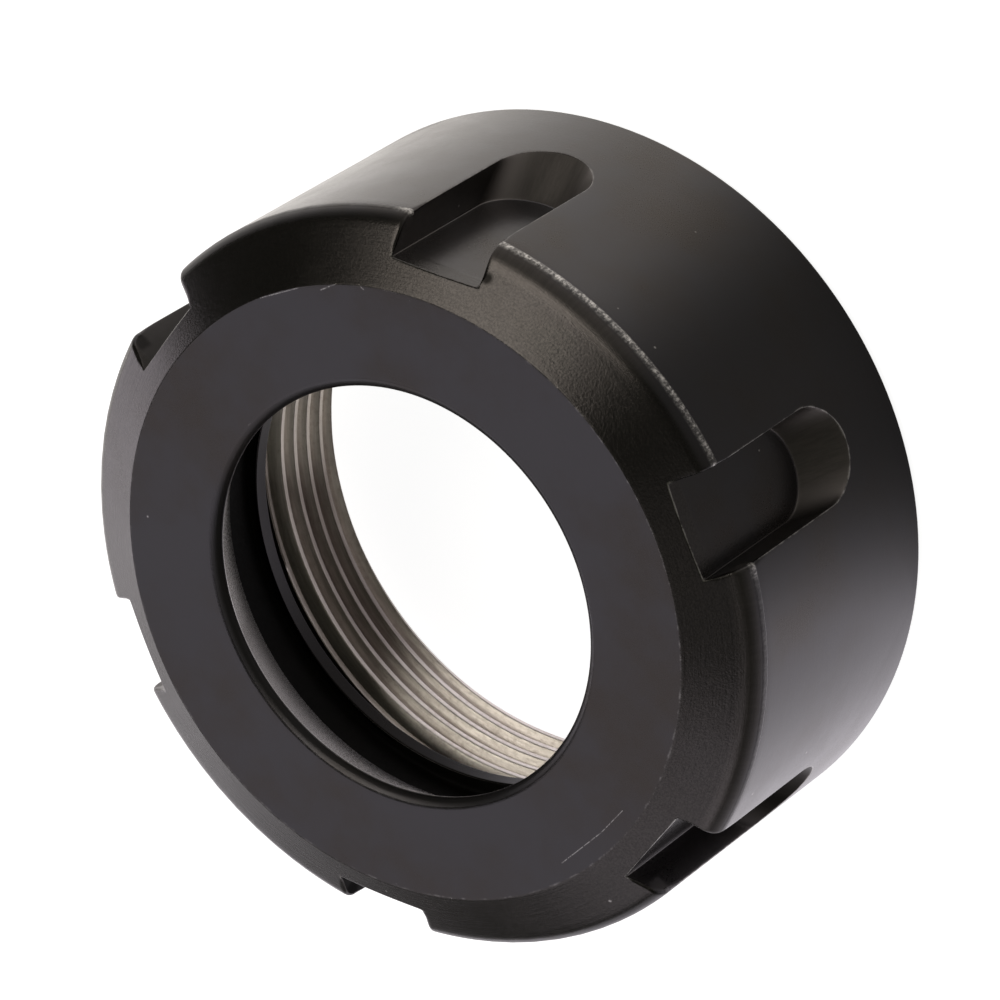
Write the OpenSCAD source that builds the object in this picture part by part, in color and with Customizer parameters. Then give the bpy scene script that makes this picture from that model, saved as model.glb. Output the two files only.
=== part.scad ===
// Collet clamping nut: one turned and milled steel ring that screws over a collet chuck.
// Millimetres, +Z up; the nut stands on its back face, front face up, axis on Z.

/* [Body] */
// Outside diameter
outer_d = 50; // [48:0.5:60]
// Length along the axis
length = 22.5; // [21.5:0.5:30]
// Diameter of the flat front face
face_d = 41.5; // [38:0.5:44]
// Slope of the front cone, measured from the front face
cone_angle = 28; // [20:1:35]
// Radius that rounds the front cone into the outside
rim_round = 1.5; // [0.5:0.1:2.5]
// Edge break round the outside of the back face
back_break = 0.4; // [0.2:0.1:1]

/* [Collet seat] */
// Diameter of the hole in the front face
hole_d = 27.8; // [24:0.2:31]
// Edge break of the hole at the front face
hole_break = 0.45; // [0.2:0.05:1]
// Straight land of the hole behind its edge break
hole_land = 0.2; // [0.1:0.05:1.5]
// Slope of the seat cone, measured from the axis
seat_angle = 30; // [25:1:40]
// Diameter at the wide end of the seat cone
seat_d = 32.8; // [31.6:0.2:34]

/* [Extractor ring] */
// Diameter of the groove between the seat and the ring
groove_d = 36.4; // [35.6:0.2:38]
// Width of that groove
groove_w = 4.6; // [3.5:0.1:6]
// Diameter of the ring's eccentric opening
ring_d = 33.6; // [32:0.2:34.4]
// Width of the ring
ring_w = 1.4; // [1:0.1:2.5]
// Distance of the eccentric opening from the axis
ring_offset = 0.8; // [0.3:0.1:1]
// Direction of that offset, turned from a wrench slot
ring_turn = 60; // [0:5:355]
// Lead-in chamfer on the back of the ring
ring_lead = 0.3; // [0.1:0.1:0.6]

/* [Thread] */
// Nominal thread diameter, to which the bore is open
thread_d = 40; // [38:0.5:41]
// Length of the threaded bore from the back face
thread_len = 8.8; // [6:0.1:10.4]
// Chamfer at the mouth of the thread
thread_chamfer = 0.8; // [0.3:0.1:1.5]
// Radial depth of the relief behind the thread
relief_depth = 0.4; // [0.2:0.1:0.6]

/* [Wrench slots] */
// Number of slots round the nut
slot_count = 6; // [4:1:8]
// Width of a slot, which is the cutter diameter
slot_w = 6.4; // [4:0.2:8]
// Depth of the flat floor below the outside
slot_depth = 2.65; // [1.5:0.05:3]
// Distance of the slot's closed end from the back face
slot_back = 6.3; // [4:0.1:9]
// Slope at which the cutter runs out at the closed end, from the radius
slot_run_out = 42; // [0:1:50]

/* [Hidden] */
$fn = 180;
// Overlap of a cut past the surface it opens
past = 2;
outer_r = outer_d / 2;
face_r = face_d / 2;
hole_r = hole_d / 2;
seat_r = seat_d / 2;
groove_r = groove_d / 2;
ring_r = ring_d / 2;
thread_r = thread_d / 2;
relief_r = thread_r + relief_depth;
// Corner where the front cone would meet the outside, and its tangent length
corner_z = length - (outer_r - face_r) * tan(cone_angle);
rim_tangent = rim_round * tan((90 - cone_angle) / 2);
rim_z = corner_z - rim_tangent;
// Heights of the bore's steps, from the front face back
land_z = length - hole_break;
seat_top_z = land_z - hole_land;
seat_end_z = seat_top_z - (seat_r - hole_r) / tan(seat_angle);
ring_top_z = seat_end_z - groove_w;
ring_bottom_z = ring_top_z - ring_w;
// Ring of stock that the eccentric opening is cut from
stock_r = ring_r - ring_offset - past;
// Slot floor, and how far the cutter moves back while it runs out
floor_r = outer_r - slot_depth;
run_out = tan(slot_run_out);
floor_end_z = slot_back + slot_w / 2 + slot_depth * run_out;
cut_depth = slot_depth + past;

// Half section of the nut, drawn as radius and height
module section() {
    polygon([
        [outer_r - back_break, 0],
        [outer_r, back_break],
        [outer_r, rim_z],
        [outer_r - rim_tangent * cos(cone_angle), corner_z + rim_tangent * sin(cone_angle)],
        [face_r, length],
        [hole_r + hole_break, length],
        [hole_r, land_z],
        [hole_r, seat_top_z],
        [seat_r, seat_end_z],
        [groove_r, seat_end_z],
        [groove_r, ring_top_z],
        [stock_r, ring_top_z],
        [stock_r, ring_bottom_z],
        [relief_r, ring_bottom_z],
        [relief_r, thread_len],
        [thread_r, thread_len],
        [thread_r, thread_chamfer],
        [thread_r + thread_chamfer, 0]
    ]);
    translate([outer_r - rim_round, rim_z])
        circle(r = rim_round);
}

// Eccentric opening of the extractor ring, with its lead-in from the back
module ring_opening() {
    rotate([0, 0, ring_turn])
        translate([ring_offset, 0, ring_bottom_z]) {
            translate([0, 0, -past / 2])
                cylinder(h = ring_w + past, r = ring_r);
            cylinder(h = ring_lead, r1 = ring_r + ring_lead, r2 = ring_r);
        }
}

// Track of the cutter on the slot floor: across the slot and along the axis
module slot_track() {
    translate([0, floor_end_z])
        circle(d = slot_w);
    translate([-slot_w / 2, floor_end_z])
        square([slot_w, length - floor_end_z + cut_depth * run_out + past]);
}

// One wrench slot on +X, open at the front; the cutter leaves it along a slope
module wrench_slot() {
    rotate([90, 0, 90])
        translate([0, 0, floor_r])
            multmatrix([[1, 0, 0, 0], [0, 1, -run_out, 0], [0, 0, 1, 0], [0, 0, 0, 1]])
                linear_extrude(height = cut_depth)
                    slot_track();
}

// Nut body, turned from bar with a bored seat and ring, then milled with the slots
module nut_body() {
    color("#2b2a2d")
        difference() {
            rotate_extrude()
                section();
            ring_opening();
            for (i = [0 : slot_count - 1])
                rotate([0, 0, i * 360 / slot_count])
                    wrench_slot();
        }
}

nut_body();
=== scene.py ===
import bmesh
import bpy
import numpy as np
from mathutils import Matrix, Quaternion, Vector


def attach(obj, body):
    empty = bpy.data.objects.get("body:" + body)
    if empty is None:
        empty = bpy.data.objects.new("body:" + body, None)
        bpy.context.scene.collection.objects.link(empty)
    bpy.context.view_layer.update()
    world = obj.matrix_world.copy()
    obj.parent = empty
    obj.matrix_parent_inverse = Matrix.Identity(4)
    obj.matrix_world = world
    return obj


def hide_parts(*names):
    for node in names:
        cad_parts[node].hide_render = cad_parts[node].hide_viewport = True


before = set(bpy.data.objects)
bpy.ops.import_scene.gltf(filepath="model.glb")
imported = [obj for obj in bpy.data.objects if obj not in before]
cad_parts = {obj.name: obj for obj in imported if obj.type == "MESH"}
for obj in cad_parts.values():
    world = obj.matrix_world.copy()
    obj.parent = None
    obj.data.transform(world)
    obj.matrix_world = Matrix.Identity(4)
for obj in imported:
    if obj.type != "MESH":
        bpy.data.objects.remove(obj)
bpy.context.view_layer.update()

# Nut body: one ring of steel, turned and bored from bar, then milled with six wrench slots whose
# closed ends run out along a slope. It is blackened all over after machining.
# Sizes are in millimetres and follow the solid; every edge carries the small break left by deburring.
MM = 0.001
OUTER_R, LENGTH, FACE_R, FACE_BREAK = 25.0, 22.5, 20.75, 0.12
CONE = np.radians(28.0)
RIM_ROUND = 1.5
RIM_TANGENT = RIM_ROUND * np.tan((np.pi / 2 - CONE) / 2)
CORNER_Z = LENGTH - (OUTER_R - FACE_R) * np.tan(CONE)
RIM_Z = CORNER_Z - RIM_TANGENT
CONE_TOP_R = OUTER_R - RIM_TANGENT * np.cos(CONE)
WALL_FOOT_Z = 0.6
WALL_LEN = RIM_Z - WALL_FOOT_Z
RIM_LEN = RIM_ROUND * (np.pi / 2 - CONE)
CONE_FOOT = WALL_LEN + RIM_LEN
SLOTS, SLOT_HALF, SLOT_END_Z = 6, 3.2, 6.3
FLOOR_R, SLOT_DEPTH, FRONT_STRIP = 22.35, 2.65, 0.6
RUN_OUT = np.tan(np.radians(42.0))
FLOOR_END_Z = SLOT_END_Z + SLOT_HALF + SLOT_DEPTH * RUN_OUT
SLOT_EDGE, RIM_BREAK, FRONT_BREAK, SLOT_FILLET = 0.07, 0.3, 0.1, 0.1
BREAK_RUN = 2.0
WEAR_REACH = 0.09
COLUMNS = 30


def outside(v):
    """Radius and height at v along the turned outside: a straight wall, a round of RIM_ROUND, then
    the straight cone."""
    turn = np.clip((v - WALL_LEN) / RIM_ROUND, 0, np.pi / 2 - CONE)
    along = np.maximum(v - CONE_FOOT, 0)
    radius = OUTER_R - RIM_ROUND * (1 - np.cos(turn)) - along * np.cos(CONE)
    height = WALL_FOOT_Z + np.minimum(v, WALL_LEN) + RIM_ROUND * np.sin(turn) + along * np.sin(CONE)
    return radius, height


def on_outside(azimuth, v):
    """Point of the turned outside at an azimuth: its radius turned round the axis, at its height."""
    radius, height = outside(v)
    return np.stack([radius * np.cos(azimuth), radius * np.sin(azimuth), height], -1)


def cone_v(radius):
    """Distance along the outside at which the front cone has this radius."""
    return CONE_FOOT + (CONE_TOP_R - radius) / np.cos(CONE)


def bent(start, corner, end, t):
    """Rounded edge from start to end: the quadratic curve that is pulled towards the sharp corner."""
    t = np.reshape(t, (-1, 1, 1))
    return (1 - t) ** 2 * start + 2 * t * (1 - t) * corner + t ** 2 * end


def toward(start, end):
    """Unit vectors from start to end and the distances between them."""
    gap = end - start
    size = np.linalg.norm(gap, axis=-1, keepdims=True)
    return gap / np.maximum(size, 1e-9), size


def slot_sector():
    """A sixth of the outside with its slot, as rings of points: the first ring is the border of the sixth,
    the next ones close in on the slot's mouth, then go down its wall and over its floor to the middle line.
    The mouth is a half circle at the closed end, two straight sides, and the line where floor and cone meet.
    With the rings come how worn each point is, and a weight on the milled wall and run-out slope that places the
    painted light and shade there."""
    theta = np.radians(np.r_[np.linspace(-90, -45, 11)[:-1],
                             np.linspace(-45, 45, COLUMNS + 1)[:-1],
                             np.linspace(45, 90, 11)[:-1]])
    from_middle = np.abs(np.degrees(theta))
    arc_lat = SLOT_HALF * np.sin(theta)
    arc_rise = np.sqrt(OUTER_R ** 2 - arc_lat ** 2) - FLOOR_R
    arc_z = FLOOR_END_Z - arc_rise * RUN_OUT - SLOT_HALF * np.cos(theta)
    side_z = FLOOR_END_Z - (np.sqrt(OUTER_R ** 2 - SLOT_HALF ** 2) - FLOOR_R) * RUN_OUT
    corner_v, end_v = cone_v(np.hypot(FLOOR_R, SLOT_HALF)), cone_v(FACE_R + FACE_BREAK)
    side_v = np.r_[np.linspace(side_z - WALL_FOOT_Z, WALL_LEN, 13)[:-1],
                   np.linspace(WALL_LEN, CONE_FOOT, 9)[:-1],
                   np.linspace(CONE_FOOT, corner_v, 7)]
    front_lat = np.linspace(SLOT_HALF, -SLOT_HALF, COLUMNS + 1)[:-1]
    front_v = cone_v(np.hypot(FLOOR_R, front_lat))

    def round_mouth(arc, side, front, mirror=1):
        """Values round the mouth: along the closed end, up one side, over the front and down the other side."""
        side = np.broadcast_to(side, side_v.shape)
        return np.r_[np.broadcast_to(arc, theta.shape), side[:-1],
                     np.broadcast_to(front, front_lat.shape), mirror * side[::-1][:-1]]

    lat = round_mouth(arc_lat, SLOT_HALF, front_lat, -1)
    v = round_mouth(arc_z - WALL_FOOT_Z, side_v, front_v)
    mouth_az = np.arcsin(lat / outside(v)[0])
    mouth = on_outside(mouth_az, v)

    corner_z = outside(corner_v)[1]
    share = (side_v - side_v[0]) / (side_v[-1] - side_v[0])
    strip = FRONT_STRIP * np.sqrt(1 - (front_lat / SLOT_HALF) ** 2)
    floor_z = round_mouth(FLOOR_END_Z - SLOT_HALF * np.cos(theta),
                          FLOOR_END_Z + share * (corner_z - FLOOR_END_Z),
                          outside(front_v)[1] - strip)
    middle_z = np.clip(floor_z, FLOOR_END_Z, corner_z - SLOT_HALF)
    foot = np.stack([np.full(lat.size, FLOOR_R), lat, floor_z], -1)
    middle = np.stack([np.full(lat.size, FLOOR_R), 0 * lat, middle_z], -1)

    half_sixth = np.pi / SLOTS
    on_cone = CONE_FOOT + (side_v - CONE_FOOT) * (end_v - CONE_FOOT) / (corner_v - CONE_FOOT)
    border_az = round_mouth(np.clip(theta / np.radians(45), -1, 1) * half_sixth, half_sixth,
                            front_lat / SLOT_HALF * half_sixth, -1)
    border_v = round_mouth(np.clip(from_middle / 45 - 1, 0, 1) * side_v[0],
                           np.where(side_v > CONE_FOOT, on_cone, side_v), end_v)

    out_lat = round_mouth(np.sin(theta), 1, 0, -1)
    out_v = round_mouth(-np.cos(theta), 0, 1)
    down_wall, wall = toward(mouth, foot)
    over_floor, _ = toward(foot, middle)
    near_rim = np.clip((side_v - WALL_LEN + BREAK_RUN) / BREAK_RUN, 0, 1) ** 2
    widest = round_mouth(SLOT_EDGE, SLOT_EDGE + (RIM_BREAK - SLOT_EDGE) * near_rim, FRONT_BREAK)
    edge = np.minimum(widest[:, None], 0.4 * wall)
    fillet = np.minimum(SLOT_FILLET, 0.4 * wall)
    off_az = mouth_az + edge[:, 0] * out_lat / outside(v)[0]
    off_v = v + edge[:, 0] * out_v
    grow = np.r_[1.0, 0.8, 0.62, 0.46, 0.33, 0.23, 0.15, 0.09, 0.045, 0.018, 0.0][:, None]
    skin = on_outside(off_az + (border_az - off_az) * grow, off_v + (border_v - off_v) * grow)
    wall_top, wall_foot = mouth + down_wall * edge, foot - down_wall * fillet
    floor_edge = foot + over_floor * fillet
    curve = np.r_[0.25, 0.5, 0.75, 1.0]
    down = np.r_[0.08, 0.5, 0.94, 1.0]
    inwards = np.r_[0.06, 0.5, 1.0]
    rings = np.concatenate([
        skin,
        bent(skin[-1], mouth, wall_top, curve),
        wall_top + (wall_foot - wall_top) * down[:, None, None],
        bent(wall_foot, foot, floor_edge, curve),
        floor_edge + (middle - floor_edge) * inwards[:, None, None],
    ])
    wall_start = len(skin) + curve.size - 1
    wall_end = wall_start + down.size + 1
    wear = np.exp(-np.linalg.norm(rings - mouth, axis=-1) / np.maximum(WEAR_REACH, 0.45 * edge[:, 0]))
    wear[wall_end:] = 0
    slope = np.zeros(wear.shape)
    # The weight peaks part way round the closed end, to place the painted light and shade of the slopes.
    arc_slope = np.interp(from_middle, [0, 25, 60, 75, 90], [0.5, 0.5, 1.0, 0.8, 0.3])
    slope[wall_start:wall_end + 1] = round_mouth(arc_slope, 0.3, 0)
    return rings, wear, slope


# The bore and both ends, as corners of the half section: radius, height, share of the ring's offset,
# size of the edge round, and how much the edge is worn. The extractor ring's opening is off the axis.
RING_OFFSET = 0.8 * np.array([np.cos(np.radians(60.0)), np.sin(np.radians(60.0))])
BORE_SECTION = np.array([
    [FACE_R, 22.5, 0, FACE_BREAK, 0.4],
    [14.35, 22.5, 0, 0.3, 0],
    [13.9, 22.05, 0, 0.3, 0],
    [13.9, 21.85, 0, 0.05, 0.3],
    [16.4, 17.52, 0, 0.08, 0.2],
    [18.2, 17.52, 0, 0.5, 0],
    [18.2, 12.92, 0, 0.4, 0],
    [16.8, 12.92, 1, 0.12, 0.3],
    [16.8, 11.82, 1, 0.06, 0.2],
    [17.1, 11.52, 1, 0.06, 0.3],
    [20.4, 11.52, 0, 0.3, 0],
    [20.4, 8.8, 0, 0.1, 0],
    [20.0, 8.8, 0, 0.05, 0],
    [20.0, 0.8, 0, 0.05, 0],
    [20.8, 0.0, 0, 0.06, 0.8],
    [24.6, 0.0, 0, 0.08, 0.8],
    [25.0, 0.4, 0, 0.08, 0.8],
])


def turned_bore():
    """Rings of points from the front cone's inner edge through the bore to the foot of the outside wall.
    Each corner becomes a short curve between two points that hold the flats flat; each point is then
    turned round the axis, and moved sideways by its share of the ring's offset."""
    first = np.r_[outside(cone_v(FACE_R + FACE_BREAK)), 0, 0, 0]
    last = np.r_[OUTER_R, WALL_FOOT_Z, 0, 0, 0]
    chain = np.vstack([first, BORE_SECTION, last])
    here, size = chain[1:-1], chain[1:-1, 3:4]
    back, reach_back = toward(here[:, :2], chain[:-2, :2])
    ahead, reach_ahead = toward(here[:, :2], chain[2:, :2])
    t = np.array([0, 0, 0.33, 0.67, 1, 1])[:, None, None]
    hold = np.array([1.6, 1, 1, 1, 1, 1.6])[:, None, None]
    start = here[:, :2] + back * np.minimum(size * hold, 0.48 * np.maximum(reach_back, size))
    end = here[:, :2] + ahead * np.minimum(size * hold, 0.48 * np.maximum(reach_ahead, size))
    flat = (1 - t) ** 2 * start + 2 * t * (1 - t) * here[:, :2] + t ** 2 * end
    flat = np.vstack([first[:2], np.swapaxes(flat, 0, 1).reshape(-1, 2), last[:2]])
    shift = np.r_[0, np.repeat(here[:, 2], t.size), 0][:, None]
    worn = np.r_[0.3, (here[:, 4:5] * np.array([0.15, 0.8, 1, 1, 0.8, 0.15])).ravel(), 0]
    azimuth = np.radians(np.arange(0, 360, 60 / COLUMNS))
    rings = np.stack([flat[:, :1] * np.cos(azimuth) + shift * RING_OFFSET[0],
                      flat[:, :1] * np.sin(azimuth) + shift * RING_OFFSET[1],
                      np.repeat(flat[:, 1:], azimuth.size, 1)], -1)
    return rings, np.repeat(worn[:, None], azimuth.size, 1)


def ring_quads(rows, columns):
    """Corner numbers of the quads between rings of points, each ring closed on itself."""
    row, column = np.mgrid[0:rows - 1, 0:columns]
    here, beside = row * columns + column, row * columns + (column + 1) % columns
    return np.stack([here, beside, beside + columns, here + columns], -1).reshape(-1, 4)


def closed_piece(name, points, faces, values):
    """Mesh object from points in millimetres: doubles merged, faces turned outwards, smooth, with values
    kept at its points."""
    mesh = bpy.data.meshes.new(name)
    mesh.from_pydata(points * MM, [], faces.tolist())
    for label, value in values.items():
        attribute = mesh.attributes.new(label, "FLOAT", "POINT")
        attribute.data.foreach_set("value", value.astype(np.float32))
    work = bmesh.new()
    work.from_mesh(mesh)
    bmesh.ops.remove_doubles(work, verts=work.verts, dist=2e-7)
    bmesh.ops.recalc_face_normals(work, faces=work.faces)
    work.to_mesh(mesh)
    work.free()
    mesh.polygons.foreach_set("use_smooth", np.ones(len(mesh.polygons), bool))
    piece = bpy.data.objects.new(name, mesh)
    bpy.context.scene.collection.objects.link(piece)
    return piece


sector, sector_wear, sector_slope = slot_sector()
sixths = np.radians(np.arange(0, 360, 360 / SLOTS))[:, None, None]
sectors = np.stack([sector[..., 0] * np.cos(sixths) - sector[..., 1] * np.sin(sixths),
                    sector[..., 0] * np.sin(sixths) + sector[..., 1] * np.cos(sixths),
                    np.repeat(sector[None, ..., 2], SLOTS, 0)], -1)
sector_starts = sector_wear.size * np.arange(SLOTS + 1)[:, None, None]
sector_faces = ring_quads(*sector.shape[:2]) + sector_starts[:SLOTS]
bore, bore_wear = turned_bore()
bore_faces = ring_quads(*bore.shape[:2]) + sector_starts[SLOTS]
body_points = np.vstack([sectors.reshape(-1, 3), bore.reshape(-1, 3)])
body_faces = np.vstack([sector_faces.reshape(-1, 4), bore_faces])
nut_body = closed_piece("nut_body_skin", body_points, body_faces, {
    "edge_wear": np.r_[np.tile(sector_wear.ravel(), SLOTS), bore_wear.ravel()],
    "slot_slope": np.r_[np.tile(sector_slope.ravel(), SLOTS), np.zeros(bore_wear.size)]})
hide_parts("nut_body")
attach(nut_body, "root")


def shade_node(tree, kind, settings=None, inputs=None):
    """Adds a shader node with its settings; each input is a number, a colour or another node's output."""
    made = tree.nodes.new("ShaderNode" + kind)
    for name, value in (settings or {}).items():
        setattr(made, name, value)
    for name, value in (inputs or {}).items():
        if isinstance(value, bpy.types.NodeSocket):
            tree.links.new(value, made.inputs[name])
        else:
            made.inputs[name].default_value = value
    return made


def sums(tree, operation, first, *others):
    """Number worked out from numbers or outputs by one operation, taken from left to right."""
    for other in others:
        first = shade_node(tree, "Math", {"operation": operation}, {0: first, 1: other}).outputs[0]
    return first


def vectors(tree, operation, first, second=(0, 0, 0)):
    """Vector node; its first output is the vector result, its last the number result."""
    return shade_node(tree, "VectorMath", {"operation": operation}, {0: first, 1: second}).outputs


def eased(tree, value, low, high, start=0.0, end=1.0):
    """Number that goes smoothly from start to end while the value goes from low to high."""
    limits = {"Value": value, "From Min": low, "From Max": high, "To Min": start, "To Max": end}
    return shade_node(tree, "MapRange", {"interpolation_type": "SMOOTHSTEP"}, limits).outputs["Result"]


def band(tree, value, low, full, still, gone):
    """Number that rises from 0 to 1 between low and full, and falls back to 0 between still and gone."""
    rise, fall = eased(tree, value, low, full), eased(tree, value, still, gone, 1.0, 0.0)
    return sums(tree, "MULTIPLY", rise, fall)


def on_side(tree, around, side, low, high, start=0.0, end=1.0):
    """Number that goes from start to end as a point's direction from the axis comes to agree with a side."""
    return eased(tree, vectors(tree, "DOT_PRODUCT", around, side)["Value"], low, high, start, end)


def blended(tree, share, first, second):
    """Colour between two colours, by a share."""
    return shade_node(tree, "Mix", {"data_type": "RGBA"}, {0: share, 6: first, 7: second}).outputs[2]


def noise(tree, spot, scale, detail, roughness):
    """Even noise over a spot."""
    inputs = {"Vector": spot, "Scale": scale, "Detail": detail, "Roughness": roughness}
    return shade_node(tree, "TexNoise", {}, inputs).outputs[0]


def spot_of(tree):
    """Place of the point that is shaded, in its object's own frame."""
    return shade_node(tree, "TexCoord").outputs["Object"]


def height_at(tree, spot):
    """Height of a spot over the back face."""
    return shade_node(tree, "SeparateXYZ", {}, {0: spot}).outputs["Z"]


def radius_at(tree, spot):
    """Distance of a spot from the axis."""
    return vectors(tree, "LENGTH", vectors(tree, "MULTIPLY", spot, (1, 1, 0))[0])["Value"]


def around_at(tree, spot):
    """Direction of a spot from the axis."""
    return vectors(tree, "NORMALIZE", vectors(tree, "MULTIPLY", spot, (1, 1, 0))[0])[0]


def effect_group(name, inputs, outputs):
    """Empty shader node group with named inputs (their socket types) and number outputs."""
    group = bpy.data.node_groups.new(name, "ShaderNodeTree")
    for label, kind in inputs.items():
        group.interface.new_socket(label, in_out="INPUT", socket_type="NodeSocket" + kind)
    for label in outputs:
        group.interface.new_socket(label, in_out="OUTPUT", socket_type="NodeSocketFloat")
    return group, group.nodes.new("NodeGroupInput").outputs, group.nodes.new("NodeGroupOutput").inputs


def placed(tree, group, inputs):
    """An effect placed in a material with its own values; gives its outputs."""
    return shade_node(tree, "Group", {"node_tree": group}, inputs).outputs


# Marks of machining. Lines are noise drawn out round the axis, as the tool ran; rays are short marks
# across them; grain is fine even noise; patches are slow uneven areas of the finish.
LINE_CHANGES, RAY_SCALE, RAY_DRIFT, PATCH_SCALE = 6.0, 90.0, (7, 7, 7), 110.0
turned_marks, given, result = effect_group(
    "turned_marks", {"Lines per Metre": "Float", "Grain per Metre": "Float"},
    ["Lines", "Rays", "Grain", "Patches"])
spot = spot_of(turned_marks)
around = around_at(turned_marks, spot)
turn_x, turn_y = shade_node(turned_marks, "SeparateXYZ", {}, {0: around}).outputs[:2]
across = shade_node(turned_marks, "CombineXYZ", {}, {
    "X": sums(turned_marks, "MULTIPLY", radius_at(turned_marks, spot), given["Lines per Metre"]),
    "Y": sums(turned_marks, "MULTIPLY", height_at(turned_marks, spot), given["Lines per Metre"]),
    "Z": sums(turned_marks, "MULTIPLY", turn_x, LINE_CHANGES)}).outputs[0]
lines = shade_node(turned_marks, "TexNoise", {"noise_dimensions": "4D"}, {
    "Vector": across, "W": sums(turned_marks, "MULTIPLY", turn_y, LINE_CHANGES),
    "Scale": 1.0, "Detail": 3.0, "Roughness": 0.6}).outputs[0]
drift = vectors(turned_marks, "MULTIPLY", spot, RAY_DRIFT)[0]
rays = noise(turned_marks, vectors(turned_marks, "ADD", around, drift)[0], RAY_SCALE, 4.0, 0.7)
grain = noise(turned_marks, spot, given["Grain per Metre"], 3.0, 0.65)
patches = noise(turned_marks, spot, PATCH_SCALE, 5.0, 0.6)
for label, value in {"Lines": lines, "Rays": rays, "Grain": grain, "Patches": patches}.items():
    turned_marks.links.new(value, result[label])

# Worn edges: the wear value of the mesh, broken up by noise so that an edge is bare in specks and short runs.
worn_edge, given, result = effect_group(
    "worn_edge", {"Wear": "Float", "Least": "Float", "Specks per Metre": "Float"}, ["Bare"])
spot = spot_of(worn_edge)
breaks = noise(worn_edge, spot, given["Specks per Metre"], 4.0, 0.7)
broken = sums(worn_edge, "MULTIPLY", given["Wear"], eased(worn_edge, breaks, 0.3, 0.7, given["Least"], 1.2))
worn_edge.links.new(eased(worn_edge, broken, 0.3, 0.8), result["Bare"])

# Dust: one small round speck in some cells of a cell pattern.
EMPTY_CELLS = 0.86
dust, given, result = effect_group("dust", {"Cells per Metre": "Float"}, ["Specks"])
spot = spot_of(dust)
cells = shade_node(dust, "TexVoronoi", {}, {"Vector": spot, "Scale": given["Cells per Metre"]}).outputs
chance = shade_node(dust, "SeparateColor", {}, {0: cells["Color"]}).outputs
reach = eased(dust, chance[1], 0.0, 1.0, 0.03, 0.1)
in_speck = eased(dust, sums(dust, "DIVIDE", cells["Distance"], reach), 0.6, 1.0, 1.0, 0.0)
taken = sums(dust, "GREATER_THAN", chance[0], EMPTY_CELLS)
dust.links.new(sums(dust, "MULTIPLY", taken, in_speck), result["Specks"])

# Scratch: distance from a straight line between a start and a run, thinner than its width.
scratch, given, result = effect_group("scratch", {"Start": "Vector", "Run": "Vector", "Width": "Float"}, ["Cut"])
spot = spot_of(scratch)
gap = vectors(scratch, "SUBTRACT", spot, given["Start"])[0]
passed = vectors(scratch, "DOT_PRODUCT", gap, given["Run"])["Value"]
whole = vectors(scratch, "DOT_PRODUCT", given["Run"], given["Run"])["Value"]
share = shade_node(scratch, "Math", {"operation": "DIVIDE", "use_clamp": True}, {0: passed, 1: whole}).outputs[0]
along = shade_node(scratch, "VectorMath", {"operation": "SCALE"}, {0: given["Run"], "Scale": share}).outputs[0]
away = vectors(scratch, "LENGTH", vectors(scratch, "SUBTRACT", gap, along)[0])["Value"]
offset = sums(scratch, "DIVIDE", away, given["Width"])
scratch.links.new(eased(scratch, offset, 0.3, 1.0, 1.0, 0.0), result["Cut"])


def steel(name, lines, grain):
    """New metal material; gives it, its node tree, its shader and its marks of machining."""
    material = bpy.data.materials.new(name)
    material.use_nodes = True
    tree = material.node_tree
    shader = tree.nodes["Principled BSDF"]
    shader.inputs["Metallic"].default_value = 1.0
    marks = placed(tree, turned_marks, {"Lines per Metre": lines, "Grain per Metre": grain})
    return material, tree, shader, marks


def dressed(tree, shader, colour, roughness, relief, depth):
    """Gives a shader its colour, its roughness and a bump of a depth in metres."""
    bump = shade_node(tree, "Bump", {}, {"Strength": 1.0, "Distance": depth, "Height": relief}).outputs[0]
    for name, value in {"Base Color": colour, "Roughness": roughness, "Normal": bump}.items():
        tree.links.new(value, shader.inputs[name])


# Black oxide: a thin dark finish with a brown or violet cast, satin, worn to bare steel along the edges.
# The slots' run-out slopes and walls are paler and duller on the side towards the camera, as painted light; slopes on
# the far side and the walls of two slots are darker, as painted shade;
# the rim is rubbed in places, and one cone edge beside a slot has a small nick.
VIOLET, BROWN, BARE = (0.0448, 0.0432, 0.0455, 1), (0.043, 0.038, 0.0349, 1), (0.72, 0.7, 0.675, 1)
MILLED, LIT_SLOPE, DENT = (0.126, 0.115, 0.11, 1), (0.2, 0.183, 0.176, 1), (0.008, 0.0075, 0.007, 1)
SHADE_BLACK = (0.014, 0.013, 0.0125, 1)
CONE_DARK, CONE_PALE = (0.0355, 0.033, 0.0318, 1), (0.0525, 0.0485, 0.046, 1)
# Zones of the finish in metres: where each one begins, is full, is still full, and is gone.
CONE_Z, RIM_LINE_Z = (0.0202, 0.0206, 0.02249, 0.0225), (0.01922, 0.01938, 0.01948, 0.01994)
ROUND_Z, DULL_RIM_Z = (0.0197, 0.0201, 0.0205, 0.0211), (0.0190, 0.0195, 0.0201, 0.0207)
FACE_EDGE_R = (0.0201, 0.0205, 0.0207, 0.0211)
# Sides of the nut, as directions from the axis.
NEAR_SIDE, HANDLED_SIDE = (0.0, -1.0, 0), (-1.0, 0, 0)
RUBBED_SIDES = ((0.26, -0.966, 0), (-0.866, -0.5, 0))
# Sides where slot walls and the bore's ring are given painted shade.
ROUGH_SHADED_SIDES = ((-0.5, 0.866, 0), (1.0, 0, 0))
SHADED_RING_SIDE = (-0.342, 0.94, 0)
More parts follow.
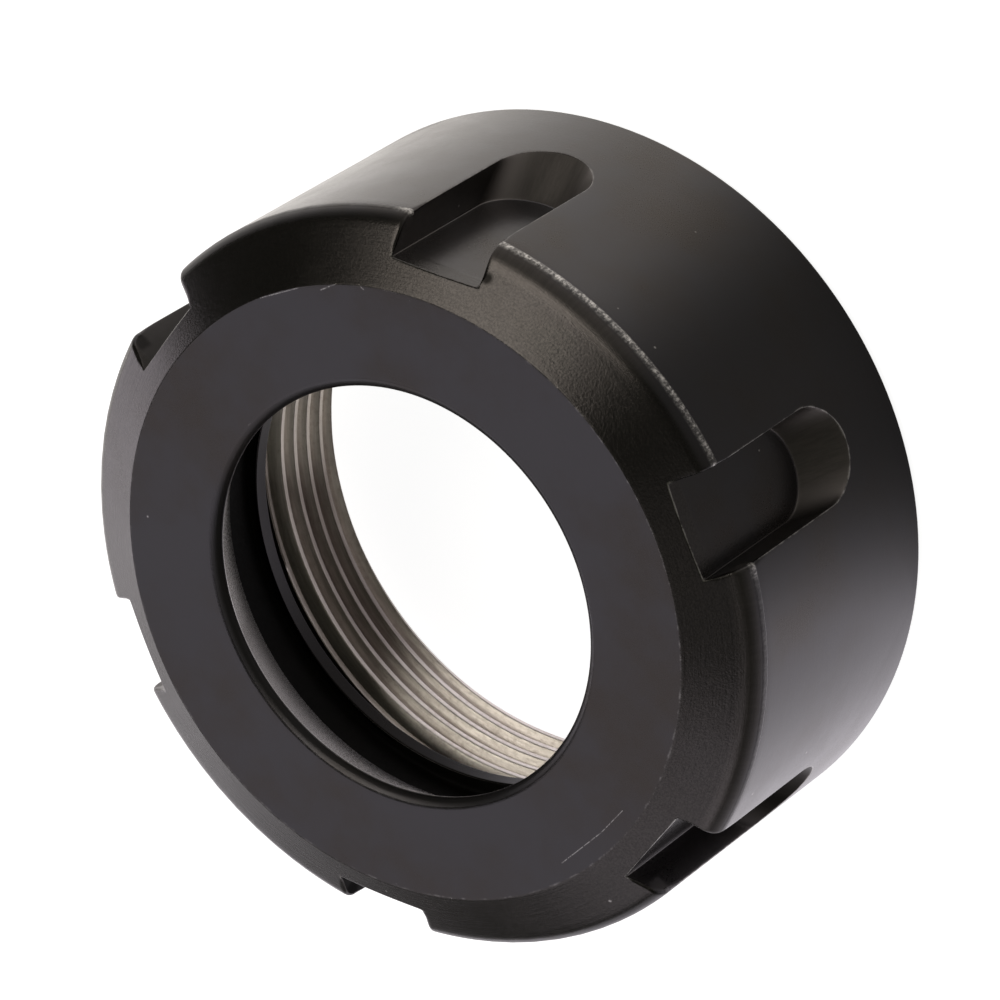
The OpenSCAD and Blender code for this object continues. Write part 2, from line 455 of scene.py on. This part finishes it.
# Scratches on the face: start, run and width in millimetres.
SCRATCHES = [
    ((-18.9, 5.4, 22.5), (-0.6, -4.1, 0), 0.045),
    ((-19.5, 1.3, 22.5), (-0.1, -2.5, 0), 0.04),
    ((14.45, -0.8, 22.5), (-1.2, -4.87, 0), 0.04),
    ((15.99, -12.69, 22.5), (-0.54, -1.25, 0), 0.06),
    ((14.56, -15.15, 22.5), (-0.75, -0.01, 0), 0.06),
    ((18.79, -8.72, 22.5), (-1.56, -2.77, 0), 0.05)]
NICK = ((8.4, -21.73, 21.14), (0.0, 0.1, 0.0), 0.5)


def scratched(tree, start, run, width):
    """Share of a scratch, from its start, run and width in millimetres."""
    values = {"Start": tuple(MM * v for v in start), "Run": tuple(MM * v for v in run), "Width": MM * width}
    return placed(tree, scratch, values)["Cut"]


black_oxide, tree, shader, marks = steel("black_oxide_steel", 7000.0, 6500.0)
fleck_grain, cone_grain = [
    placed(tree, turned_marks, {"Lines per Metre": 3000.0, "Grain per Metre": grain})["Grain"]
    for grain in (4200.0, 8000.0)]
wear, slope = [
    shade_node(tree, "Attribute", {"attribute_name": label}).outputs["Fac"]
    for label in ("edge_wear", "slot_slope")]
spot = spot_of(tree)
height, radius, around = height_at(tree, spot), radius_at(tree, spot), around_at(tree, spot)
facing = vectors(tree, "DOT_PRODUCT", around, NEAR_SIDE)["Value"]
outermost = eased(tree, radius, 0.0236, 0.024)
on_cone = band(tree, height, *CONE_Z)
on_line = sums(tree, "MULTIPLY", band(tree, height, *RIM_LINE_Z), eased(tree, radius, 0.0246, 0.0247))
on_round = sums(tree, "MULTIPLY", band(tree, height, *ROUND_Z), outermost)
on_rim = sums(tree, "MULTIPLY", band(tree, height, *DULL_RIM_Z), outermost)
face_edge = sums(tree, "MULTIPLY", band(tree, radius, *FACE_EDGE_R), eased(tree, height, 0.0221, 0.0222))
on_ring = sums(tree, "MULTIPLY", eased(tree, radius, 0.0178, 0.0182, 1.0, 0.0),
               eased(tree, height, 0.0134, 0.0138, 1.0, 0.0))

# Bare steel: on worn edges, in flecks along the rim's line, which are also a painted highlight kept to the side
# towards the camera, in scratches, and in specks on the face's edge and all over.
worn = placed(tree, worn_edge, {"Wear": wear, "Least": 0.6, "Specks per Metre": 1500.0})["Bare"]
handled = on_side(tree, around, HANDLED_SIDE, -0.45, 0.1, 0.12, 0.4)
# The rim's flecks are bare steel and also a painted highlight, kept to the side towards the camera.
rim_flecks_and_glints = sums(tree, "MULTIPLY", on_line, eased(tree, facing, 0.755, 0.8, 0.06, 1.0),
              eased(tree, fleck_grain, 0.42, 0.6, 0.25, 1.0), eased(tree, marks["Rays"], 0.36, 0.64, 0.3, 1.0))
cut_depth = eased(tree, marks["Grain"], 0.35, 0.6, 0.02, 0.26)
cuts = [sums(tree, "MULTIPLY", scratched(tree, *line), cut_depth) for line in SCRATCHES]
edge_specks = sums(tree, "MULTIPLY", placed(tree, dust, {"Cells per Metre": 1800.0})["Specks"],
                   eased(tree, face_edge, 0.0, 1.0, 0.0, 0.3))
specks = sums(tree, "MULTIPLY", placed(tree, dust, {"Cells per Metre": 620.0})["Specks"], 0.3)
bare = sums(tree, "MAXIMUM", sums(tree, "MULTIPLY", worn, handled), rim_flecks_and_glints, *cuts, edge_specks, specks)

# Layers of the finish, each over the ones before it.
# Painted light and shade: slot slopes on the side towards the camera are made paler, those on the far side darker.
lit_slot_side = eased(tree, facing, 0.3, 0.6, 0.6, 1.0)
shaded_slot_side = eased(tree, facing, 0.3, 0.6, 0.8, 0.0)
rubbed = sums(tree, "MAXIMUM", on_side(tree, around, RUBBED_SIDES[0], 0.9, 0.985, 0.0, 0.75),
              on_side(tree, around, RUBBED_SIDES[1], 0.86, 0.96, 0.0, 0.45))
milled = sums(tree, "MAXIMUM", sums(tree, "MULTIPLY", eased(tree, slope, 0.0, 0.5), lit_slot_side),
              sums(tree, "MULTIPLY", on_round, rubbed))
# Painted shade: the walls of two slots are made darker, and also rougher.
rough_shaded_side = sums(tree, "MAXIMUM", on_side(tree, around, ROUGH_SHADED_SIDES[0], 0.8, 0.95),
                  on_side(tree, around, ROUGH_SHADED_SIDES[1], 0.8, 0.95, 0.0, 0.5))
rough_shaded_wall = sums(tree, "MULTIPLY", eased(tree, slope, 0.0, 0.25), rough_shaded_side)
outer_cone = sums(tree, "MULTIPLY", on_cone, eased(tree, radius, 0.0205, 0.0208), 0.85)
# Painted shade: the bore's ring is made darker on one side.
shaded_ring = sums(tree, "MULTIPLY", on_ring, on_side(tree, around, SHADED_RING_SIDE, 0.5, 0.9, 0.0, 0.8))
finish = blended(tree, eased(tree, marks["Patches"], 0.4, 0.75), VIOLET, BROWN)
for share, colour in [
        (outer_cone, blended(tree, eased(tree, cone_grain, 0.38, 0.62), CONE_DARK, CONE_PALE)),
        (sums(tree, "MULTIPLY", milled, eased(tree, marks["Rays"], 0.3, 0.7, 0.7, 1.0)), MILLED),
        (sums(tree, "MULTIPLY", eased(tree, slope, 0.5, 1.0), lit_slot_side), LIT_SLOPE),
        # Painted shade: the near-black colour is laid on far-side slopes, on two slots' walls and on one side of the
        # ring.
        (sums(tree, "MULTIPLY", eased(tree, slope, 0.32, 0.6), shaded_slot_side), SHADE_BLACK),
        (sums(tree, "MULTIPLY", rough_shaded_wall, 0.9), SHADE_BLACK),
        (shaded_ring, SHADE_BLACK),
        (scratched(tree, *NICK), DENT),
        (bare, BARE)]:
    finish = blended(tree, share, finish, colour)

# Roughness: satin, duller on the milled and rough walls, on the rim, at the hole's edge and where it is bare.
hole_edge = eased(tree, radius, 0.0143, 0.01445, 0.16, 0.0)
gloss = sums(tree, "ADD", eased(tree, marks["Patches"], 0.3, 0.7, 0.15, 0.23), hole_edge)
for zone, amount in [(marks["Grain"], 0.09), (milled, 0.22), (on_rim, 0.2), (rough_shaded_wall, 0.5), (bare, 0.12)]:
    gloss = sums(tree, "ADD", gloss, sums(tree, "MULTIPLY", zone, amount))

# Relief: fine lines and grain, deeper on the cone and along the rim's line, with rays on the cone.
fine = sums(tree, "ADD", sums(tree, "MULTIPLY", marks["Lines"], 0.8), marks["Grain"])
deeper = sums(tree, "MAXIMUM", eased(tree, on_cone, 0.0, 1.0, 1.0, 2.8), eased(tree, on_line, 0.0, 1.0, 0.0, 7.0))
cone_rays = sums(tree, "MULTIPLY", marks["Rays"], eased(tree, on_cone, 0.0, 1.0, 0.0, 0.4))
relief = sums(tree, "ADD", sums(tree, "MULTIPLY", fine, deeper), cone_rays)
dressed(tree, shader, finish, gloss, relief, 4e-6)

# Ground steel of the collet seat: bare, with fine lines round the axis, with a painted highlight on two sides,
# and darker towards its deep end as painted shade.
SEAT_DARK, SEAT_PALE, SEAT_BRIGHT = (0.52, 0.5, 0.49, 1), (0.6, 0.58, 0.57, 1), (0.98, 0.955, 0.945, 1)
SEAT_SHADE = (0.1, 0.092, 0.085, 1)
SEAT_HIGHLIGHT_SIDES = ((0.743, 0.669, 0), (-0.342, 0.94, 0))
ground_seat, tree, shader, marks = steel("ground_seat_steel", 9000.0, 8000.0)
spot = spot_of(tree)
height, around = height_at(tree, spot), around_at(tree, spot)
# Painted highlight on two sides of the seat.
seat_highlight = sums(tree, "MAXIMUM", on_side(tree, around, SEAT_HIGHLIGHT_SIDES[0], 0.93, 0.985),
                on_side(tree, around, SEAT_HIGHLIGHT_SIDES[1], 0.93, 0.985, 0.0, 0.45))
lit_colour = blended(tree, eased(tree, marks["Lines"], 0.35, 0.65), SEAT_DARK, SEAT_PALE)
lit_colour = blended(tree, seat_highlight, lit_colour, SEAT_BRIGHT)
# Painted shade: the seat darkens towards its deep end.
colour = blended(tree, eased(tree, height, 0.0178, 0.0214), SEAT_SHADE, lit_colour)
dressed(tree, shader, colour, eased(tree, marks["Grain"], 0.3, 0.7, 0.22, 0.3), marks["Lines"], 2e-6)

# Cut steel of the thread: drawn along the tool's path, with painted light: a bright copy of its colour on two sides,
# at the mouth and towards the upper end, a darker copy between them, and a brown stain in patches on the bright copy.
THREAD_SHADED_DARK, THREAD_SHADED_PALE = (0.268, 0.234, 0.216, 1), (0.37, 0.328, 0.302, 1)
THREAD_LIT_DARK, THREAD_LIT_PALE, STAIN = (0.8, 0.75, 0.69, 1), (0.94, 0.885, 0.82, 1), (0.5, 0.43, 0.37, 1)
THREAD_LIT_SIDES = ((-0.5, 0.866, 0), (0.94, 0.342, 0))
cut_thread, tree, shader, marks = steel("cut_thread_steel", 6000.0, 3000.0)
spot = spot_of(tree)
height, around = height_at(tree, spot), around_at(tree, spot)
stain = sums(tree, "ADD", sums(tree, "MULTIPLY", marks["Patches"], 0.5), sums(tree, "MULTIPLY", marks["Grain"], 0.5))
# Painted light: the bright copy of the thread's colour on two sides, at the mouth and towards the upper end.
thread_painted_light = sums(tree, "MAXIMUM", on_side(tree, around, THREAD_LIT_SIDES[0], 0.78, 0.94),
             on_side(tree, around, THREAD_LIT_SIDES[1], 0.86, 0.98),
             eased(tree, height, 0.0018, 0.0034, 0.7, 0.0), eased(tree, height, 0.005, 0.0082, 0.0, 0.42))
lined = eased(tree, marks["Lines"], 0.35, 0.65)
shaded_thread = blended(tree, lined, THREAD_SHADED_DARK, THREAD_SHADED_PALE)
lit_colour = blended(tree, lined, THREAD_LIT_DARK, THREAD_LIT_PALE)
lit_colour = blended(tree, sums(tree, "MULTIPLY", eased(tree, stain, 0.46, 0.7), 0.5), lit_colour, STAIN)
colour = blended(tree, thread_painted_light, shaded_thread, lit_colour)
dressed(tree, shader, colour, eased(tree, marks["Grain"], 0.3, 0.7, 0.34, 0.44), marks["Lines"], 6e-6)

# Near-black, almost glossless finish of the groove and the relief: black oxide, made darker there as painted shade.
RECESS_DARK, RECESS_PALE = (0.004, 0.0038, 0.0035, 1), (0.009, 0.0082, 0.0072, 1)
shaded_recess_black, tree, shader, marks = steel("dull_black_steel", 5000.0, 5000.0)
# Painted shade: near-black and almost without gloss, so the recesses stay dark.
shader.inputs["Metallic"].default_value = 0.0
shader.inputs["Specular IOR Level"].default_value = 0.05
colour = blended(tree, eased(tree, marks["Patches"], 0.3, 0.7), RECESS_DARK, RECESS_PALE)
dressed(tree, shader, colour, eased(tree, marks["Grain"], 0.3, 0.7, 0.42, 0.56), marks["Lines"], 5e-6)

# The seat's cone, the threaded stretch and the recesses between them take these finishes, each within
# limits of radius and height that lie just outside its own corners.
SEAT_R, SEAT_Z = (13.85, 16.42), (17.45, 21.88)
THREAD_R, THREAD_Z = 20.82, (0.03, 8.84)
RING_R, RING_MIDDLE_Z, RING_HALF = 17.62, 12.37, 0.53
RECESS_R, RECESS_TOP = 20.45, 17.6
for material in (black_oxide, ground_seat, cut_thread, shaded_recess_black):
    nut_body.data.materials.append(material)
middles = np.empty(len(nut_body.data.polygons) * 3)
nut_body.data.polygons.foreach_get("center", middles)
middles = middles.reshape(-1, 3) / MM
radius, height = np.hypot(middles[:, 0], middles[:, 1]), middles[:, 2]
in_seat = (radius > SEAT_R[0]) & (radius < SEAT_R[1]) & (height > SEAT_Z[0]) & (height < SEAT_Z[1])
in_thread = (radius < THREAD_R) & (height > THREAD_Z[0]) & (height < THREAD_Z[1])
on_ring = (radius < RING_R) & (np.abs(height - RING_MIDDLE_Z) < RING_HALF)
in_recess = (radius < RECESS_R) & (height >= THREAD_Z[1]) & (height < RECESS_TOP) & ~in_seat & ~on_ring
finishes = in_seat * 1 + in_thread * 2 + in_recess * 3
nut_body.data.polygons.foreach_set("material_index", finishes.astype(np.int32))

# Thread: a fine right-hand metric thread cut in the back of the bore, 1.5 mm pitch.
# It is part of the same steel; here its ridge is a strip carried along a helix on the bore wall.
PITCH, ROOT_R, CREST_R = 1.5, 20.05, 19.19
THREAD_TOP, THREAD_START, THREAD_FOOT = 8.8, -0.2, 0.3
FIRST_TURN, LAST_TURN, STEPS = -0.6, 6.9, 1081
FADE_END, FADE_TURNS = 6.3, 0.6
MOUTH_R = 20.85
FLANK = np.array([[0.14, CREST_R], [0.19, CREST_R + 0.015], [0.23, CREST_R + 0.065], [0.25, CREST_R + 0.1],
                  [0.66, ROOT_R - 0.035], [0.68, ROOT_R]])
RIDGE = np.vstack([FLANK[::-1] * (-1, 1), FLANK, [[0, ROOT_R + 0.1]]])


def thread_ridge():
    """Ridge section carried along a helix. Above the relief's wall the section is cut off level, at the radius
    where its flank meets that level, and it runs out into the wall; at the mouth it stays behind the chamfer."""
    turns = np.linspace(FIRST_TURN, LAST_TURN, STEPS)[:, None]
    angle, centre = turns * 2 * np.pi, THREAD_START + turns * PITCH
    height = RIDGE[:, 0] + centre
    flank = np.interp(THREAD_TOP - centre, RIDGE[:-1, 0], RIDGE[:-1, 1], ROOT_R, ROOT_R)
    radius = np.where(height > THREAD_TOP, np.maximum(RIDGE[:, 1], flank), RIDGE[:, 1])
    height = np.clip(height, THREAD_FOOT, THREAD_TOP)
    radius = ROOT_R - (ROOT_R - radius) * np.clip((FADE_END - turns) / FADE_TURNS, 0, 1)
    radius = np.maximum(radius, MOUTH_R - height)
    return np.stack([radius * np.cos(angle), radius * np.sin(angle), height], -1)


ridge = thread_ridge()
thread = closed_piece("thread_ridge", ridge.reshape(-1, 3), ring_quads(*ridge.shape[:2]), {})
thread.data.materials.append(cut_thread)
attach(thread, "root")

# Studio: a white floor that the nut stands on, soft light from the far side and from above,
# and the camera of the photograph, tipped so that the axis points down to the left.
floor_mesh = bpy.data.meshes.new("studio_floor")
floor_mesh.from_pydata([(-4, -4, 0), (4, -4, 0), (4, 4, 0), (-4, 4, 0)], [], [(0, 1, 2, 3)])
floor = bpy.data.objects.new("studio_floor", floor_mesh)
bpy.context.scene.collection.objects.link(floor)

# White paper: pure white to the camera; in reflections darker towards the camera, far off and inside the bore.
WARM, COOL, WHITE, PAPER = (1.05, 1.0, 0.95, 1), (1.05, 1.0, 1.07, 1), (1, 1, 1, 1), (0.4, 0.4, 0.4, 1)
CAMERA_GLOW = 0.94
CAMERA_SIDE, FAR_SIDE, BORE_SIDE, COOL_SIDE = (-0.39, -0.92, 0), (0.545, 0.839, 0), (-0.42, 0.907, 0), (-0.87, 0.5, 0)
paper = bpy.data.materials.new("white_paper")
paper.use_nodes = True
tree = paper.node_tree
tree.nodes.clear()
rays = shade_node(tree, "LightPath").outputs
spot = spot_of(tree)
radius, around = radius_at(tree, spot), around_at(tree, spot)
outside_nut = eased(tree, radius, 0.0205, 0.0235)
inside_nut = sums(tree, "SUBTRACT", 1.0, outside_nut)
far_level = on_side(tree, around, FAR_SIDE, 0.86, 0.985, 0.22, 0.85)
bore_level = on_side(tree, around, BORE_SIDE, 0.76, 0.97, 0.38, 0.64)
open_floor = sums(tree, "MULTIPLY", on_side(tree, around, CAMERA_SIDE, 0.72, 0.99, 1.03, 0.1), outside_nut,
                  eased(tree, radius, 0.05, 0.15, 1.0, far_level))
shade = sums(tree, "MAXIMUM", open_floor, sums(tree, "MULTIPLY", inside_nut, bore_level))
glow_level = sums(tree, "ADD", sums(tree, "MULTIPLY", rays["Is Camera Ray"], CAMERA_GLOW),
                  sums(tree, "MULTIPLY", shade, rays["Is Glossy Ray"]))
tint = blended(tree, on_side(tree, around, COOL_SIDE, -0.6, 0.6), WARM, COOL)
glow_colour = blended(tree, rays["Is Camera Ray"], tint, WHITE)
glow = shade_node(tree, "Emission", {}, {"Strength": glow_level, "Color": glow_colour}).outputs[0]
matt = shade_node(tree, "BsdfDiffuse", {}, {"Color": PAPER}).outputs[0]
both = shade_node(tree, "AddShader", {}, {0: matt, 1: glow}).outputs[0]
shade_node(tree, "OutputMaterial", {}, {"Surface": both})
floor_mesh.materials.append(paper)

world = bpy.data.worlds.new("studio")
bpy.context.scene.world = world
world.use_nodes = True
world.node_tree.nodes["Background"].inputs["Color"].default_value = (0.105, 0.103, 0.085, 1)
AIM_HEIGHT = 0.011


def softbox(name, shape, azimuth, elevation, distance, width, height, radiance, tint):
    """Area lamp aimed at the nut from a direction in degrees; its distance and size are in metres, and its power
    gives the wanted brightness of its face."""
    azimuth, elevation = np.radians(azimuth), np.radians(elevation)
    aim = np.array([np.cos(azimuth) * np.cos(elevation), np.sin(azimuth) * np.cos(elevation), np.sin(elevation)])
    lamp = bpy.data.lights.new(name, "AREA")
    lamp.shape, lamp.size, lamp.size_y = shape, width, height
    lamp.energy = radiance * np.pi * width * height * (np.pi / 4 if shape == "ELLIPSE" else 1)
    lamp.color = tint
    box = bpy.data.objects.new(name, lamp)
    box.location = tuple(aim * distance + np.array([0, 0, AIM_HEIGHT]))
    box.rotation_mode = "QUATERNION"
    box.rotation_quaternion = Vector(aim).to_track_quat("Z", "Y")
    bpy.context.scene.collection.objects.link(box)


softbox("far_light", "RECTANGLE", 107, 42, 0.8, 1.22, 0.75, 1.0, (1.05, 1.0, 1.08))
softbox("back_light", "RECTANGLE", 53, 9, 0.8, 0.42, 0.28, 2.3, (1.06, 1.0, 1.09))
softbox("top_light", "ELLIPSE", -18, 63, 0.7, 0.45, 0.45, 3.05, (1.06, 1.0, 0.91))
softbox("near_card", "RECTANGLE", -95, 14, 0.8, 1.4, 0.4, 0.2, (1.05, 1.0, 0.95))
softbox("overhead_light", "ELLIPSE", 178, 70, 0.7, 0.4, 0.4, 0.25, (1.05, 1.0, 1.0))

camera_data = bpy.data.cameras.new("camera")
camera_data.sensor_width = 36.0
camera_data.lens = 224.94
camera_data.clip_start, camera_data.clip_end = 0.01, 20.0
camera = bpy.data.objects.new("camera", camera_data)
camera.location = (-0.06004493, -0.25332336, 0.31620775)
camera.rotation_mode = "QUATERNION"
camera.rotation_quaternion = Quaternion((-0.34443423, -0.19853975, -0.28139476, 0.87336362))
bpy.context.scene.collection.objects.link(camera)
bpy.context.scene.camera = camera
bpy.context.scene.view_settings.view_transform = "Standard"
